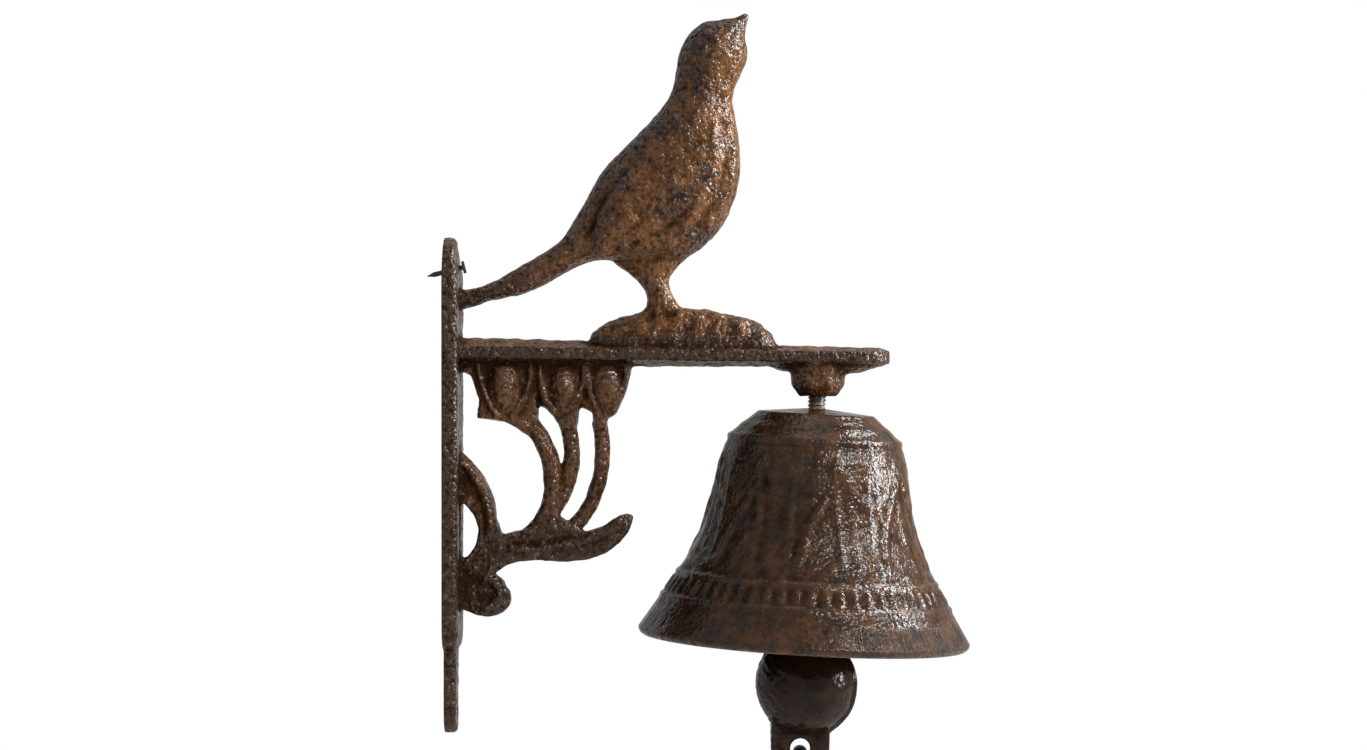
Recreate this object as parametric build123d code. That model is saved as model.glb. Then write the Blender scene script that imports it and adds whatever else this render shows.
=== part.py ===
from build123d import *
import os

# Cast iron bell on a bird-and-tulip wall bracket, in millimetres.
# X = 0 is the wall and +X points out of it, Y = 0 is the casting's parting plane, +Z is up.
# Z = 0 lies near the top of the arm where the arm leaves the back plate.

# Back plate
plate_width = 34.0
plate_thick = 5.2
plate_top = 35.5
plate_shoulder = -102.0  # the wide plate ends here and the narrow tail begins
plate_corner = 9.0
plate_edge_draft = 1.0
tail_width = 14.0
tail_thick = 4.3
tail_bottom = -130.3
fixing_hole = 4.4
upper_hole_inset = 11.2
lower_hole_inset = 8.5

# Arm, thickest along the parting plane and drafted to thinner sides
arm_overhang = 24.0  # beyond the boss
arm_width = 21.0
arm_edge = 3.6
arm_crest_wall = 9.8
arm_crest_end = 6.4
arm_mid_wall = -2.6
arm_mid_end = -4.6

# Boss under the arm, tapped for the eye bolt
boss_x = 125.0
boss_drop = 12.9  # below the middle of the arm's end
boss_top_across = 19.4
boss_waist_across = 17.4
boss_bottom_across = 12.2
boss_chamfer = 3.6
boss_sides = 8
pad_middle = 2.0  # beyond the boss; the arm swells under here to carry it
pad_length = 42.0
pad_width = 17.0
pad_drop = 6.0

# Quarter-inch eye bolt, which leans a little as the tapped hole does
rod = 6.25
rod_lean = 3.2
rod_inset = 0.2  # the tapped hole lies nearer the wall than the boss's middle
rod_engaged = 11.0
thread_clearance = 0.1
eye_wire = 5.4
eye_inner_radius = 4.2
eye_drop = 13.2  # from the nut's lower face to the middle of the eye
eye_offset = 2.0  # the eye is bent to one side of the rod, towards the wall

# Bell
bell_gap = 4.2  # bare thread between the boss and the crown
bell_height = 78.4
bell_wall = 4.6
crown_thick = 5.0
crown_radius = 19.3
crown_fall = 1.6
shoulder_radius = 28.9
shoulder_depth = 9.8
neck_radius = 30.7
neck_depth = 15.8
waist_radius = 32.9
waist_depth = 27.8
flare_radius = 36.9
flare_depth = 43.8
skirt_radius = 45.5
skirt_depth = 59.8
mouth_radius = 55.6
lip_thick = 5.0
bead_radius = 0.9
upper_bead_depth = 56.6
lower_bead_depth = 64.4
crown_hole_clearance = 0.35

# Washer and nut that carry the bell inside its crown
washer_across = 18.0
washer_thick = 1.6
nut_across = 11.1
nut_thick = 5.6

# Link between the eye bolt and the clapper
link_wire = 3.5
link_width = 14.0
link_height = 20.0
link_corner = 4.0
seat_gap = 0.3  # between pieces that hang on one another

# Clapper
ball = 33.8
clapper_drop = 45.0  # from the link's lower bar to the middle of the ball
clapper_eye_hole = 7.2
clapper_eye_across = 13.5
clapper_eye_thick = 4.8
neck_top = 7.0
neck_bottom = 11.0
lug_width = 19.6
lug_thick = 6.0
lug_root_thick = 18.0  # inside the ball, where the lug grows out of it
lug_root_drop = 8.0
lug_neck_thick = 9.0
lug_neck_drop = 18.0
lug_drop = 31.5  # from the middle of the ball to the lug's end
lug_corner = 4.0
lug_inset = 2.1  # the lug lies nearer the wall than the ball's middle
cord_hole_width = 6.6
cord_hole_height = 8.4
cord_hole_floor = 5.3  # metal left below the hole

# Pull ring in the clapper's lower hole
ring_wire = 4.8
ring_radius = 9.5
ring_gap = 1.0

# Nail through the upper fixing hole
nail_wire = 1.7
nail_head = 4.2
nail_head_thick = 0.9
nail_tilt = 14.0
nail_behind_plate = 6.2
nail_point = 2.4
nail_head_gap = 0.9
nail_rise = 0.4  # the plate hangs on the nail, which lies near the top of its hole

# Bird: one row for each station along the body, from the beak to the tail, as
# (point on the back, point on the breast, half thickness). Points are (x, z).
bird_stations = [
    ((101.2, 110.7), (101.9, 109.5), 0.8),
    ((98.3, 109.8), (101.0, 107.0), 2.4),
    ((94.8, 108.7), (100.6, 104.2), 4.2),
    ((86.2, 107.2), (101.2, 97.6), 7.6),
    ((79.4, 99.6), (100.2, 92.2), 8.6),
    ((76.4, 85.6), (96.6, 83.2), 8.4),
    ((71.0, 76.9), (97.3, 75.6), 10.3),
    ((64.6, 70.0), (98.6, 67.4), 12.0),
    ((58.7, 64.1), (99.0, 59.6), 12.8),
    ((54.0, 59.2), (98.0, 51.4), 13.0),
    ((48.1, 49.5), (89.6, 35.2), 12.0),
    ((43.1, 41.0), (70.0, 26.2), 10.0),
    ((38.3, 34.1), (50.8, 27.8), 7.8),
    ((32.2, 29.9), (38.8, 22.7), 6.2),
    ((21.3, 23.7), (25.0, 16.2), 5.2),
    ((12.4, 19.3), (14.0, 14.0), 4.6),
    ((plate_thick / 2, 18.4), (plate_thick / 2, 12.4), 4.6),
]
wing_middle = (66.0, 50.0)
wing_length = 50.0
wing_height = 17.0
wing_thick = 8.0
wing_offset = 8.6
wing_slope = 52.0

# Leg, as (middle x, z, half width, half thickness), and the mound it stands on, as
# (x, top z, half thickness) for each station along the arm
leg_stations = [
    (68.4, 31.0, 14.6, 7.0),
    (68.2, 26.0, 10.0, 5.4),
    (70.0, 20.8, 5.2, 4.0),
    (72.4, 15.4, 4.6, 3.8),
    (73.4, 8.6, 11.4, 5.4),
]
mound_stations = [
    (47.8, -0.6, 4.0),
    (49.4, 3.0, 6.4),
    (52.4, 6.0, 7.8),
    (56.4, 7.9, 8.8),
    (65.0, 10.3, 9.2),
    (80.0, 12.3, 9.4),
    (92.0, 10.6, 9.4),
    (102.6, 8.2, 8.8),
    (108.6, 4.0, 7.6),
    (111.6, -0.8, 4.0),
]

# Tulips: outlines drawn from the upper left corner, a full middle petal for each as
# (middle x, middle z, half width, half height), and the rims of the outer petals as arcs
tulip_top = arm_mid_wall
tulip_outlines = [
    [(plate_thick / 2, tulip_top), (plate_thick / 2, -10.8), (6.4, -9.6), (8.8, -10.6), (11.3, -18.6),
     (10.8, -24.9), (20.2, -26.2), (27.4, -30.5), (31.6, -26.0), (31.2, tulip_top)],
    [(31.2, tulip_top), (32.2, -20.8), (35.2, -22.4), (39.4, -29.0), (44.2, -29.0), (45.4, -21.4),
     (46.6, tulip_top)],
    [(46.6, tulip_top), (45.8, -21.4), (49.4, -23.0), (50.0, -29.0), (54.6, -29.0), (54.7, -23.6),
     (58.2, -18.6), (61.0, -13.8), (61.8, tulip_top)],
]
petals = [
    (20.0, -15.0, 6.0, 10.6),
    (40.2, -15.0, 4.9, 10.6),
    (54.6, -14.8, 5.3, 10.2),
]
petal_rims = [
    [(11.6, tulip_top), (13.2, -15.6), (18.0, -24.4)],
    [(28.4, tulip_top), (27.8, -15.6), (22.0, -25.0)],
    [(33.4, tulip_top), (32.6, -14.4), (37.0, -23.0)],
    [(45.6, tulip_top), (46.2, -14.0), (42.8, -22.2)],
    [(49.0, tulip_top), (48.2, -14.4), (51.6, -23.0)],
    [(60.8, tulip_top), (59.8, -14.4), (56.4, -21.6)],
]
tulip_thick = 9.0
tulip_draft = 8.0
petal_depth = 7.4
rim_half_width = 1.5
rim_depth = 6.0

# Stems, as three points of the upper arc and the end of the lower one
stem_routes = [
    (6.2, [(28.8, -27.0), (35.8, -41.0), (35.4, -53.6), (18.6, -68.0)]),
    (5.6, [(40.7, -26.0), (42.6, -38.0), (39.0, -51.4), (21.0, -69.2)]),
    (5.2, [(51.6, -26.0), (52.8, -38.4), (49.5, -52.3), (26.0, -68.4)]),
]

# Scroll that joins the stems to the plate, with a leaf at its outer end
scroll_thick = 7.0
scroll_root = plate_thick / 2
hoop_curve = [(scroll_root, -35.8), (7.8, -40.4), (12.8, -46.8), (16.3, -54.8), (19.2, -64.0)]
web_top = [(33.0, -60.6), (37.6, -57.2)]
leaf_upper = [(44.0, -61.0), (53.0, -61.2), (59.4, -57.2), (63.2, -57.4)]
leaf_lower = [(63.2, -57.4), (58.6, -66.6), (46.0, -72.6), (27.0, -72.6), (17.0, -76.6)]
curl_curve = [(17.0, -76.6), (18.0, -80.0), (21.2, -82.0), (22.2, -86.2), (17.4, -90.8), (10.0, -90.4),
              (scroll_root, -87.4)]
scroll_ribs = [
    [(scroll_root, -37.0), (13.4, -50.0), (15.0, -65.0)],
    [(22.0, -68.2), (42.0, -66.8), (60.4, -59.6)],
    [(13.0, -78.6), (18.6, -83.6), (12.8, -88.0)],
]
rib_half_width = 2.3
rib_depth = 4.8
gap_start = plate_thick + 0.5
finger_gap = [(gap_start, -52.8), (gap_start + 5.6, -62.8), (gap_start, -72.6)]


def standing(shape):
    """A shape drawn as (x, z), stood up in the parting plane."""
    return Plane.XZ * shape


def both_sides(sketch, thickness, draft=0.0):
    """Extrudes a standing sketch to both sides, thinner away from the parting plane."""
    near = extrude(standing(sketch), thickness / 2, taper=draft)
    return near + mirror(near, about=Plane.XZ)


def ellipsoid(half_x, half_y, half_z):
    return scale(Sphere(1), (half_x, half_y, half_z))


def plate_outline():
    """The wide part of the plate seen from the front, as (y, z)."""
    half = plate_width / 2
    head = Pos(0, plate_top - half) * Circle(half)
    middle_height = plate_top - half - plate_shoulder
    middle = Pos(0, plate_shoulder + middle_height / 2) * Rectangle(plate_width, middle_height)
    return head + fillet(middle.vertices().group_by(Axis.Y)[0], plate_corner)


def tail_outline():
    height = plate_shoulder + plate_corner - tail_bottom - tail_width / 2
    tail = Pos(0, plate_shoulder + plate_corner - height / 2) * Rectangle(tail_width, height)
    return tail + Pos(0, tail_bottom + tail_width / 2) * Circle(tail_width / 2)


def back_plate():
    plate = Part()
    for outline, thick in ((plate_outline(), plate_thick), (tail_outline(), tail_thick)):
        slab = extrude(Plane.YZ * outline, thick)
        front_edges = slab.faces().sort_by(Axis.X)[-1].outer_wire().edges()
        plate += chamfer(front_edges, plate_edge_draft)
    drill = extrude(Plane.YZ * Circle(fixing_hole / 2), plate_thick)
    for height in (upper_hole_z, tail_bottom + lower_hole_inset):
        plate -= Pos(0, 0, height) * drill
    return plate


def arm_section(x, crest, middle):
    half = arm_width / 2
    edge = arm_edge / 2
    corners = [
        (-half, middle - edge),
        (0, middle - crest / 2),
        (half, middle - edge),
        (half, middle + edge),
        (0, middle + crest / 2),
        (-half, middle + edge),
    ]
    return Plane.YZ.offset(x) * Polygon(*corners, align=None)


def arm():
    length = boss_x + arm_overhang
    bar = loft([
        arm_section(plate_thick / 2, arm_crest_wall, arm_mid_wall),
        arm_section(length, arm_crest_end, arm_mid_end),
    ])
    straight = length - arm_width / 2
    plan = Pos(straight / 2, 0) * Rectangle(straight, arm_width)
    plan += Pos(straight, 0) * Circle(arm_width / 2)
    return bar & extrude(plan, 2 * arm_width, both=True)


def boss():
    levels = [
        (boss_bottom, boss_bottom_across),
        (boss_bottom + boss_chamfer, boss_waist_across),
        (arm_mid_end, boss_top_across),
    ]
    sections = []
    for height, across in levels:
        face = RegularPolygon(across / 2, boss_sides, major_radius=False, rotation=180 / boss_sides)
        sections.append(Plane((boss_x, 0, height)) * face)
    return loft(sections, ruled=True)


def boss_pad():
    pad = split(ellipsoid(pad_length / 2, pad_width / 2, pad_drop), Plane.XY, keep=Keep.BOTTOM)
    return Pos(boss_x + pad_middle, 0, arm_mid_end) * pad


def bird_section(back, breast, half_thick):
    """An ellipse across the parting plane, from the bird's back to its breast."""
    span = Vector(breast[0] - back[0], 0, breast[1] - back[1])
    middle = Vector((back[0] + breast[0]) / 2, 0, (back[1] + breast[1]) / 2)
    along = Vector(0, 1, 0).cross(span)
    plane = Plane(origin=middle, x_dir=span.normalized(), z_dir=along.normalized())
    return plane * Ellipse(span.length / 2, half_thick)


def bird():
    body = loft([bird_section(*row) for row in bird_stations])
    wing = Rot(0, -wing_slope, 0) * ellipsoid(wing_length / 2, wing_thick / 2, wing_height / 2)
    for side in (-1, 1):
        body += Pos(wing_middle[0], side * wing_offset, wing_middle[1]) * wing
    return body


def leg():
    return loft([
        Plane((x, 0, z)) * Ellipse(half_width, half_thick)
        for x, z, half_width, half_thick in leg_stations
    ])


def mound():
    rock = loft([
        Plane.YZ.offset(x) * Pos(0, arm_mid_wall) * Ellipse(half_thick, top - arm_mid_wall)
        for x, top, half_thick in mound_stations
    ])
    reach = 2 * boss_x
    return rock & Pos(0, 0, arm_mid_wall) * Box(reach, arm_width, reach, align=(Align.CENTER, Align.CENTER, Align.MIN))


def tulips():
    """Three flowers under the arm, cut off level inside it."""
    flowers = Part()
    for outline in tulip_outlines:
        flowers += both_sides(Polygon(*outline, align=None), tulip_thick, tulip_draft)
    for x, z, half_width, half_height in petals:
        flowers += Pos(x, 0, z) * ellipsoid(half_width, petal_depth, half_height)
    for route in petal_rims:
        flowers += rib(route, rim_half_width, rim_depth)
    reach = 2 * boss_x
    return flowers & Pos(0, 0, tulip_top) * Box(reach, arm_width, reach, align=(Align.CENTER, Align.CENTER, Align.MAX))


def rib(route, half_width, depth):
    """A raised line on both faces, along an arc through three points."""
    path = standing(ThreePointArc(*route))
    section = Plane(origin=path @ 0, x_dir=(0, 1, 0), z_dir=path % 0) * Ellipse(depth, half_width)
    return sweep(section, path=path)


def stem(size, route):
    upper = ThreePointArc(*route[:3])
    lower = TangentArc(route[2], route[3], tangent=upper % 1)
    path = standing(upper + lower)
    return sweep(Plane(origin=path @ 0, z_dir=path % 0) * Circle(size / 2), path=path)


def scroll():
    edge = [
        Spline(*hoop_curve),
        Polyline(hoop_curve[-1], *web_top, leaf_upper[0]),
        Spline(*leaf_upper),
        Spline(*leaf_lower),
        Spline(*curl_curve),
        Line(curl_curve[-1], hoop_curve[0]),
    ]
    gap = make_face([ThreePointArc(*finger_gap), Line(finger_gap[-1], finger_gap[0])])
    body = both_sides(make_face(edge) - gap, scroll_thick)
    return body.fuse(*[rib(route, rib_half_width, rib_depth) for route in scroll_ribs])


def bracket():
    """Plate, arm, boss, bird, tulips, stems and scroll, which are one casting."""
    stems = [stem(size, route) for size, route in stem_routes]
    casting = back_plate().fuse(arm(), boss(), boss_pad(), bird(), leg(), mound(), tulips(), scroll(), *stems)
    tapped = Cylinder(rod / 2 + thread_clearance, 2 * (rod_engaged + thread_clearance))
    return casting - rod_frame * tapped


def eye_bolt():
    """A rod with a welded eye, in the rod's frame."""
    shank = Cylinder(rod / 2, rod_engaged - eye_z - eye_radius,
                     align=(Align.CENTER, Align.CENTER, Align.MAX))
    eye = Rot(90, 0, 0) * Torus(eye_radius, eye_wire / 2)
    return rod_frame * (Pos(0, 0, rod_engaged) * shank + Pos(-eye_offset, 0, eye_z) * eye)


def bell():
    """The bell in the rod's frame, turned about the rod."""
    crown = -bell_gap
    mouth = crown - bell_height
    lip_z = mouth + lip_thick / 2
    outside = [
        (crown_radius, crown - crown_fall),
        (shoulder_radius, crown - shoulder_depth),
        (neck_radius, crown - neck_depth),
        (waist_radius, crown - waist_depth),
        (flare_radius, crown - flare_depth),
        (skirt_radius, crown - skirt_depth),
        (mouth_radius, lip_z),
    ]
    inside = [(radius - bell_wall, z) for radius, z in outside[1:-1]]
    ceiling = (crown_radius - bell_wall / 2, crown_z)
    hole = rod / 2 + crown_hole_clearance
    lip_inside = (mouth_radius - lip_thick, lip_z)
    side = Spline(*outside[1:])
    edge = [
        Polyline((hole, crown_z), (hole, crown), outside[0], outside[1]),
        side,
        ThreePointArc(outside[-1], (mouth_radius - lip_thick / 2, mouth), lip_inside),
        Spline(lip_inside, *reversed(inside)),
        Polyline(inside[0], ceiling, (hole, crown_z)),
    ]
    body = revolve(standing(make_face(edge)), Axis.Z)
    for depth in (upper_bead_depth, lower_bead_depth):
        level = Axis((0, crown - depth, 0), (1, 0, 0))
        radius = side.find_intersection_points(level)[0].X
        body += Pos(0, 0, crown - depth) * Torus(radius, bead_radius)
    return rod_frame * body


def washer():
    disc = Cylinder(washer_across / 2, washer_thick) - Cylinder(rod / 2 + seat_gap, washer_thick)
    return rod_frame * Pos(0, 0, crown_z - washer_thick / 2) * disc


def nut():
    hexagon = RegularPolygon(nut_across / 2, 6, major_radius=False)
    body = extrude(hexagon - Circle(rod / 2 + thread_clearance), nut_thick)
    return rod_frame * Pos(0, 0, nut_z) * body


def link():
    """A closed link that hangs plumb in the bolt's eye, across the parting plane."""
    path = Plane.YZ * RectangleRounded(link_width, link_height, link_corner).wire()
    bar = sweep(Plane(origin=path @ 0, z_dir=path % 0) * Circle(link_wire / 2), path=path)
    return Pos(*link_pivot) * Pos(0, 0, link_bar_above_pivot - link_height / 2) * bar


def clapper():
    """Eye, neck, ball and cord lug in one casting, drawn with the ball's middle at z = 0."""
    eye_z_here = clapper_drop - (clapper_eye_hole - link_wire) / 2 + seat_gap
    disc = extrude(standing(Pos(0, eye_z_here) * Circle(clapper_eye_across / 2)),
                   clapper_eye_thick / 2, both=True)
    neck = loft([
        Plane((0, 0, 0)) * Circle(neck_bottom / 2),
        Plane((0, 0, eye_z_here)) * Circle(neck_top / 2),
    ])
    eye_hole = extrude(standing(Pos(0, eye_z_here) * Circle(clapper_eye_hole / 2)), neck_top, both=True)
    lug = Pos(-lug_inset, -lug_drop / 2) * Rectangle(lug_width, lug_drop)
    lug = fillet(lug.vertices().group_by(Axis.Y)[0], lug_corner)
    lug = extrude(standing(lug), lug_width, both=True)
    lug &= loft([
        Plane((-lug_inset, 0, -drop)) * Rectangle(lug_width, thick)
        for drop, thick in (
            (lug_root_drop, lug_root_thick),
            (lug_neck_drop, lug_neck_thick),
            (lug_drop, lug_thick),
        )
    ])
    arch = cord_hole_width / 2
    floor = cord_hole_floor - lug_drop
    straight = cord_hole_height - arch
    cord_hole = Pos(-lug_inset, floor + straight / 2) * Rectangle(cord_hole_width, straight)
    cord_hole += Pos(-lug_inset, floor + straight) * Circle(arch)
    cord_hole = extrude(standing(cord_hole), lug_width, both=True)
    body = Sphere(ball / 2) + (disc + neck - eye_hole) + (lug - cord_hole)
    return Pos(*ball_middle) * body


def pull_ring():
    ring = Rot(0, 90, 0) * Torus(ring_radius, ring_wire / 2)
    top_bar = cord_hole_floor - lug_drop + ring_gap + ring_wire / 2
    return Pos(*ball_middle) * Pos(-lug_inset, 0, top_bar - ring_radius) * ring


def nail():
    """Drawn along +X with the head at the far end, then tilted in the hole."""
    half_hole = plate_thick / 2
    behind = half_hole + nail_behind_plate
    front = half_hole + nail_head_gap
    shank = extrude(Plane.YZ.offset(nail_point - behind) * Circle(nail_wire / 2), behind - nail_point + front)
    point = Plane.YZ.offset(nail_point - behind) * Circle(nail_wire / 2)
    point = extrude(point, -nail_point, taper=18)
    head = extrude(Plane.YZ.offset(front) * Circle(nail_head / 2), nail_head_thick)
    return Pos(half_hole, 0, upper_hole_z + nail_rise) * Rot(0, -nail_tilt, 0) * (shank + point + head)


# Places that several pieces share
upper_hole_z = plate_top - upper_hole_inset
boss_bottom = arm_mid_end - boss_drop
rod_frame = Location((boss_x - rod_inset, 0, boss_bottom), (0, rod_lean, 0))
crown_z = -bell_gap - crown_thick
nut_z = crown_z - washer_thick - nut_thick
eye_z = nut_z - eye_drop
eye_radius = eye_inner_radius + eye_wire / 2
eye_middle = (rod_frame * Pos(-eye_offset, 0, eye_z)).position
link_pivot = eye_middle - Vector(0, 0, eye_radius)
link_bar_above_pivot = (eye_wire + link_wire) / 2 + seat_gap
clapper_pivot = link_pivot + Vector(0, 0, link_bar_above_pivot - link_height)
ball_middle = clapper_pivot - Vector(0, 0, clapper_drop)

os.makedirs("parts", exist_ok=True)
pieces = {
    "bracket": bracket(),
    "eye_bolt": eye_bolt(),
    "bell": bell(),
    "crown_washer": washer(),
    "crown_nut": nut(),
    "clapper_link": link(),
    "clapper": clapper(),
    "pull_ring": pull_ring(),
    "fixing_nail": nail(),
}
for name, solid in pieces.items():
    export_step(solid, f"parts/{name}.step")
    print(f"{name}: {solid.volume:.0f} mm3")
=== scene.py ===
import bpy
import math
import numpy as np
from mathutils import Matrix, Vector


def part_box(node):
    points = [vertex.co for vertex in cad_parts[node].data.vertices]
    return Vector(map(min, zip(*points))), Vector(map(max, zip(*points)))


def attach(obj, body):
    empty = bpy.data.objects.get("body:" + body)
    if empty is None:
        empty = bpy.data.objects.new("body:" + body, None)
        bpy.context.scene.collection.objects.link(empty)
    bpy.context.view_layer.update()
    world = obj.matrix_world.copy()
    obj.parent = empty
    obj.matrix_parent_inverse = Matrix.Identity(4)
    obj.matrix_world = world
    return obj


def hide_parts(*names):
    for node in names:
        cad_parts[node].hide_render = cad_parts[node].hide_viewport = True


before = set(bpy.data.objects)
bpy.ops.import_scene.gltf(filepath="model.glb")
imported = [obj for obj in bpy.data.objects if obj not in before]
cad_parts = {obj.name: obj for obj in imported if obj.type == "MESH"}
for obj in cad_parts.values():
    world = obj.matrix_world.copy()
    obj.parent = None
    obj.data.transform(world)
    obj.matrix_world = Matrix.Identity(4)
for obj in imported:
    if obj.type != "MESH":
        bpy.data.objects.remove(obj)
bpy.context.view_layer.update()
mm = 0.001
print("frame loaded:", len(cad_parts), "CAD nodes")


# Selection, modifiers and copies of the CAD nodes

def deselectAll():
    if bpy.context.object and bpy.context.object.mode != "OBJECT":
        bpy.ops.object.mode_set(mode="OBJECT")
    bpy.ops.object.select_all(action="DESELECT")


def makeActive(piece):
    deselectAll()
    piece.select_set(True)
    bpy.context.view_layer.objects.active = piece


def editAll(piece):
    makeActive(piece)
    bpy.ops.object.mode_set(mode="EDIT")
    bpy.ops.mesh.select_all(action="SELECT")


def applyModifier(piece, kind, **settings):
    makeActive(piece)
    modifier = piece.modifiers.new(kind.title(), kind)
    for name, value in settings.items():
        setattr(modifier, name, value)
    bpy.ops.object.modifier_apply(modifier=modifier.name)


def newPiece(name, mesh):
    piece = bpy.data.objects.new(name, mesh)
    bpy.context.collection.objects.link(piece)
    return piece


def copyOfNode(nodeName, pieceName):
    piece = newPiece(pieceName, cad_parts[nodeName].data.copy())
    piece.data.name = pieceName
    piece.data.materials.clear()
    editAll(piece)
    bpy.ops.mesh.remove_doubles(threshold=0.002 * mm)
    bpy.ops.object.mode_set(mode="OBJECT")
    return piece


def castSkin(piece, look):
    # one even mesh all over, with the soft edges of a casting
    applyModifier(piece, "REMESH", mode="VOXEL", voxel_size=look["skin"] * mm)
    applyModifier(piece, "SMOOTH", factor=0.5, iterations=look["softness"])


def shadeSmooth(piece):
    makeActive(piece)
    bpy.ops.object.shade_smooth()


# Reading and moving all of a mesh's points at once, in millimetres

def pointsOf(piece):
    points = np.empty(len(piece.data.vertices) * 3)
    piece.data.vertices.foreach_get("co", points)
    return points.reshape(-1, 3) / mm


def normalsOf(piece):
    normals = np.empty(len(piece.data.vertices) * 3)
    piece.data.vertex_normals.foreach_get("vector", normals)
    return normals.reshape(-1, 3)


def setPoints(piece, points):
    piece.data.vertices.foreach_set("co", (points * mm).ravel())
    piece.data.update()


def keepInside(piece, nodeName):
    # relief never stands out of the CAD node's own box
    low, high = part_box(nodeName)
    points = np.clip(pointsOf(piece), np.array(low) / mm, np.array(high) / mm)
    setPoints(piece, points)


def bump(distance, width):
    # 1 at no distance, a third at the width, and nothing soon after
    return np.exp(-(distance / width) ** 2)


def fade(value, start, end):
    # 0 before start, 1 after end
    t = np.clip((value - start) / (end - start), 0, 1)
    return t * t * (3 - 2 * t)


def between(value, rise, fall):
    # 1 between two fades, 0 outside them
    return fade(value, *rise) * (1 - fade(value, *fall))


def distanceTo(route, x, z):
    nearest = np.full(len(x), np.inf)
    for (ax, az), (bx, bz) in zip(route, route[1:]):
        dx, dz = bx - ax, bz - az
        t = np.clip(((x - ax) * dx + (z - az) * dz) / (dx * dx + dz * dz), 0, 1)
        nearest = np.minimum(nearest, np.hypot(x - ax - t * dx, z - az - t * dz))
    return nearest


def curveThrough(start, middle, end, count=12):
    # a smooth curve that starts and ends at the points and leans on the middle one
    t = np.linspace(0, 1, count)[:, None]
    points = (1 - t) ** 2 * np.array(start) + 2 * t * (1 - t) * np.array(middle) + t ** 2 * np.array(end)
    return [tuple(point) for point in points]


def relief(carving, x, z):
    # the height of a set of lines seen from the side; carving is (height, width, lines)
    height, width, lines = carving
    total = np.zeros(len(x))
    for line in lines:
        total += height * bump(distanceTo(curveThrough(*line), x, z), width)
    return total


swellWaves = {
    "count": 14,
    "lengths": (0.8, 1.8),  # of a single wave, as shares of the swell's size
    "phases": 6.28,  # radians, about a full turn
    "sum": 5.5,  # brings the waves together to between -1 and 1 at nearly every point
}


def waves(points, size, seed):
    # gentle random swell: a sum of plane waves about size across
    chance = np.random.default_rng(seed)
    total = np.zeros(len(points))
    for _ in range(swellWaves["count"]):
        direction = chance.normal(size=3)
        length = size * chance.uniform(*swellWaves["lengths"])
        direction *= 2 * math.pi / (length * np.linalg.norm(direction))
        total += np.sin(points @ direction + chance.uniform(0, swellWaves["phases"]))
    return total / swellWaves["sum"]


def unevenness(points, look):
    # how much of its full height a carving has from place to place, on a worn casting
    middle, swing, size, seed = look["uneven"]
    return middle + swing * waves(points, size, seed)


def store(piece, name, values):
    layer = piece.data.attributes.new(name, "FLOAT", "POINT")
    layer.data.foreach_set("value", values)


def markHollows(piece, look):
    # stores how far each point stands above (1) or below (0) its smoothed surroundings
    edges = np.empty(len(piece.data.edges) * 2, dtype=int)
    piece.data.edges.foreach_get("vertices", edges)
    first, second = edges.reshape(-1, 2).T
    points = pointsOf(piece)
    count = np.bincount(np.concatenate([first, second]), minlength=len(points))[:, None]
    smoothed = points.copy()
    for _ in range(look["hollowRounds"]):
        total = np.zeros_like(points)
        for axis in range(3):
            total[:, axis] = np.bincount(first, smoothed[second, axis], len(points))
            total[:, axis] += np.bincount(second, smoothed[first, axis], len(points))
        smoothed = total / np.maximum(count, 1)
    height = ((points - smoothed) * normalsOf(piece)).sum(axis=1)
    store(piece, "raised", np.clip(0.5 + height / (2 * look["hollowReach"]), 0, 1))


# Materials

def colour(hexValue):
    # sRGB hex to linear
    parts = [int(hexValue[i:i + 2], 16) / 255 for i in (1, 3, 5)]
    return tuple(c / 12.92 if c <= 0.04045 else ((c + 0.055) / 1.055) ** 2.4 for c in parts) + (1,)


def grey(value):
    return (value, value, value, 1)


def addNode(tree, kind, values=None, links=None, stops=None, **settings):
    node = tree.nodes.new(kind)
    for name, value in settings.items():
        setattr(node, name, value)
    for socket, value in (values or {}).items():
        node.inputs[socket].default_value = value
    for socket, source in (links or {}).items():
        tree.links.new(source, node.inputs[socket])
    if stops:
        for element, (position, shade) in zip(node.color_ramp.elements, stops):
            element.position, element.color = position, shade
    return node


def newMaterial(name):
    material = bpy.data.materials.new(name)
    material.use_nodes = True
    material.node_tree.nodes.clear()
    return material, material.node_tree


black, white = (0, 0, 0, 1), (1, 1, 1, 1)
mixFactor, mixFirst, mixSecond, mixed = 0, 6, 7, 2  # the sockets of a Mix node that mixes colours

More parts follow.
